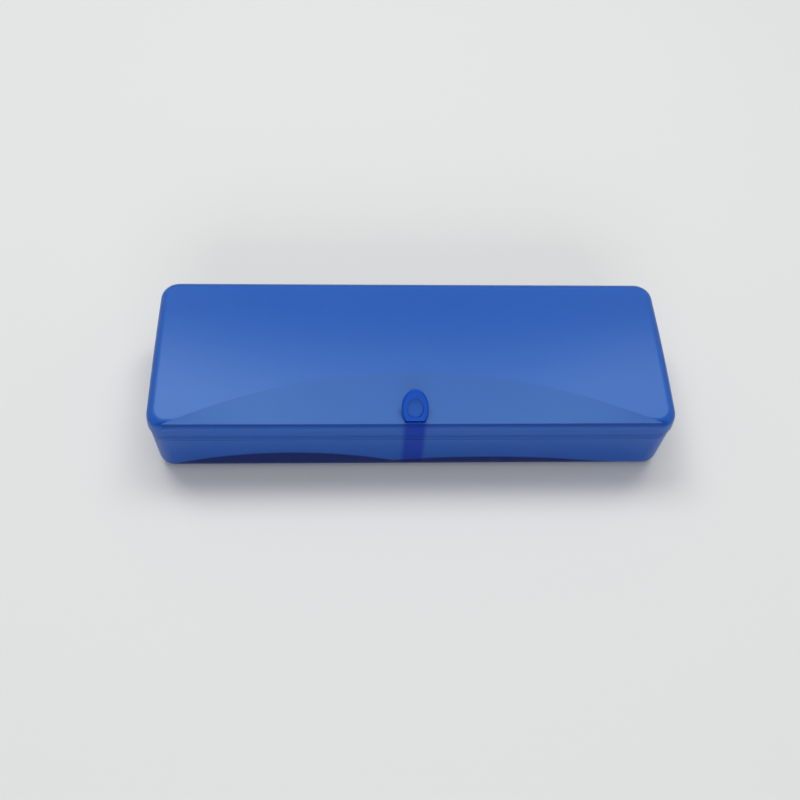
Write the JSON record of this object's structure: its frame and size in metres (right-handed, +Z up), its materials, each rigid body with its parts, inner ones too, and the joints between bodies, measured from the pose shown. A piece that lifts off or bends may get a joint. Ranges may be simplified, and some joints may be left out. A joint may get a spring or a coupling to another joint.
{
  "type": "glasses case",
  "caption": "Slim hinged case for reading glasses, with a crowned lid, a flat front ramp and a rocking thumb latch.",
  "frame": {"origin": "on the resting face, under the middle of the two shells", "axes": "+X along the case, to the right seen from the front; -Y the front, where the latch is; +Z up"},
  "size_m": [0.16, 0.0594, 0.0328],
  "materials": {
    "shell_plastic": "frosted, slightly translucent blue",
    "latch_plastic": "deeper blue, satin",
    "pin_steel": "plain steel wire"
  },
  "bodies": {
    "base": {"base_shell": "shell_plastic", "hinge_pin_left": "pin_steel", "hinge_pin_right": "pin_steel"},
    "lid": {"lid_shell": "shell_plastic"},
    "latch": {"latch": "latch_plastic"}
  },
  "joints": [
    {"name": "lid_hinge", "type": "hinge", "parent": "base", "child": "lid", "pos_m": [0, 0.0295, 0.0174], "axis": [-1, 0, 0], "range_deg": [0, 180]},
    {"name": "latch_rock", "type": "hinge", "parent": "lid", "child": "latch", "pos_m": [0, -0.0233, 0.0233], "axis": [-1, 0, 0], "range_deg": [0, 5], "stiffness_Nm_per_rad": 0.34}
  ]
}
